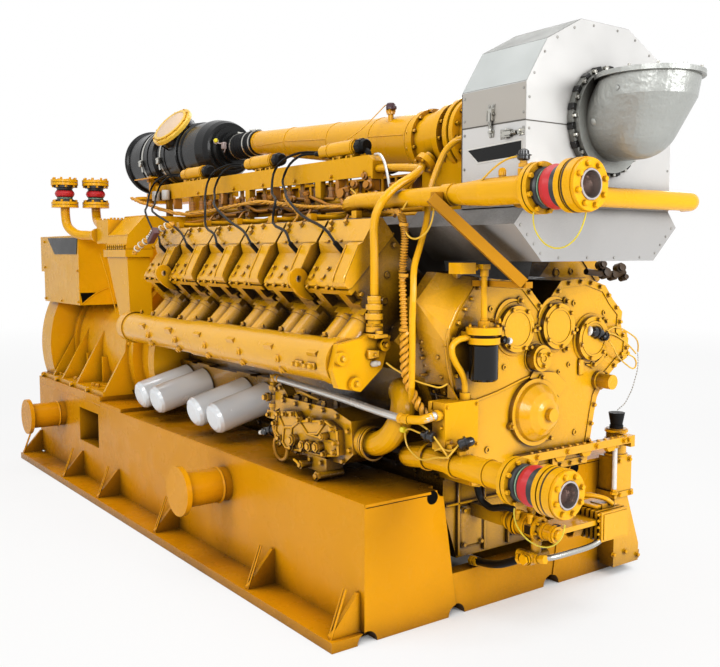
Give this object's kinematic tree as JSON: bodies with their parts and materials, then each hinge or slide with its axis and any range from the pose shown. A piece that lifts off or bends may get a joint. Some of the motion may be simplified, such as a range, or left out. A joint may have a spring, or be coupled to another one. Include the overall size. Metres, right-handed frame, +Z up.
{
  "type": "gas generator set",
  "caption": "Gas engine generator set: vee engine and generator on a fabricated base frame, with air filter, charge cooler, exhaust housing and water pipes.",
  "frame": {"origin": "on the floor under the middle of the base frame, half way along it and midway between its rails", "axes": "+X along the crankshaft towards the free end with the exhaust elbow, -Y towards the oil filter side, +Z up"},
  "size_m": [4.73, 1.952, 2.3711],
  "materials": {
    "yellow_paint": "gloss enamel",
    "black_rubber": "matt",
    "black_plastic": "satin",
    "silver_cladding": "sheet, satin",
    "silver_casting": "heat-resisting silver paint",
    "grey_enamel": "gloss",
    "black_enamel": "gloss",
    "silver_hose": "braided sleeve",
    "black_lead": "satin"
  },
  "bodies": {
    "root": {"base_rails": "yellow_paint", "base_cross_members": "yellow_paint", "base_gussets": "yellow_paint", "lifting_trunnions": "yellow_paint", "base_packers": "yellow_paint", "generator_frame": "yellow_paint", "generator_end_housing": "yellow_paint", "generator_feet": "yellow_paint", "terminal_box": "yellow_paint", "flywheel_housing": "yellow_paint", "crankcase": "yellow_paint", "oil_pan": "yellow_paint", "cylinder_heads": "yellow_paint", "rocker_covers": "yellow_paint", "lifting_eyes": "yellow_paint", "intake_manifolds": "yellow_paint", "manifold_brackets": "yellow_paint", "intake_ducts": "yellow_paint", "charge_cooler": "yellow_paint", "cooler_pipes": "yellow_paint", "cooler_bellows": "black_rubber", "air_filter": "black_plastic", "air_filter_cap": "yellow_paint", "filter_cradle": "yellow_paint", "intake_bellows": "black_rubber", "intake_pipe": "yellow_paint", "mixer_housing": "yellow_paint", "exhaust_shield": "silver_cladding", "heat_housing": "silver_cladding", "exhaust_hood": "silver_cladding", "hood_latches": "silver_cladding", "exhaust_elbow": "silver_casting", "ignition_rails": "yellow_paint", "ignition_coils": "yellow_paint", "ignition_leads": "black_lead", "fuel_header": "yellow_paint", "upper_water_pipe": "yellow_paint", "crossover_pipe": "yellow_paint", "upper_water_flange": "yellow_paint", "lower_water_pipe": "yellow_paint", "lower_water_flange": "yellow_paint", "water_bellows": "black_rubber", "gear_case": "yellow_paint", "gear_covers": "yellow_paint", "oil_filters": "grey_enamel", "filter_heads": "yellow_paint", "oil_cooler": "yellow_paint", "cooler_elbow": "yellow_paint", "oil_hose": "silver_hose", "breather_canister": "black_enamel", "breather_head": "yellow_paint", "bracket_box": "yellow_paint", "engine_pipes": "yellow_paint", "hood_brace": "yellow_paint", "oil_filler": "yellow_paint", "filler_cap": "black_plastic", "prelube_pump": "yellow_paint"}
  },
  "joints": []
}
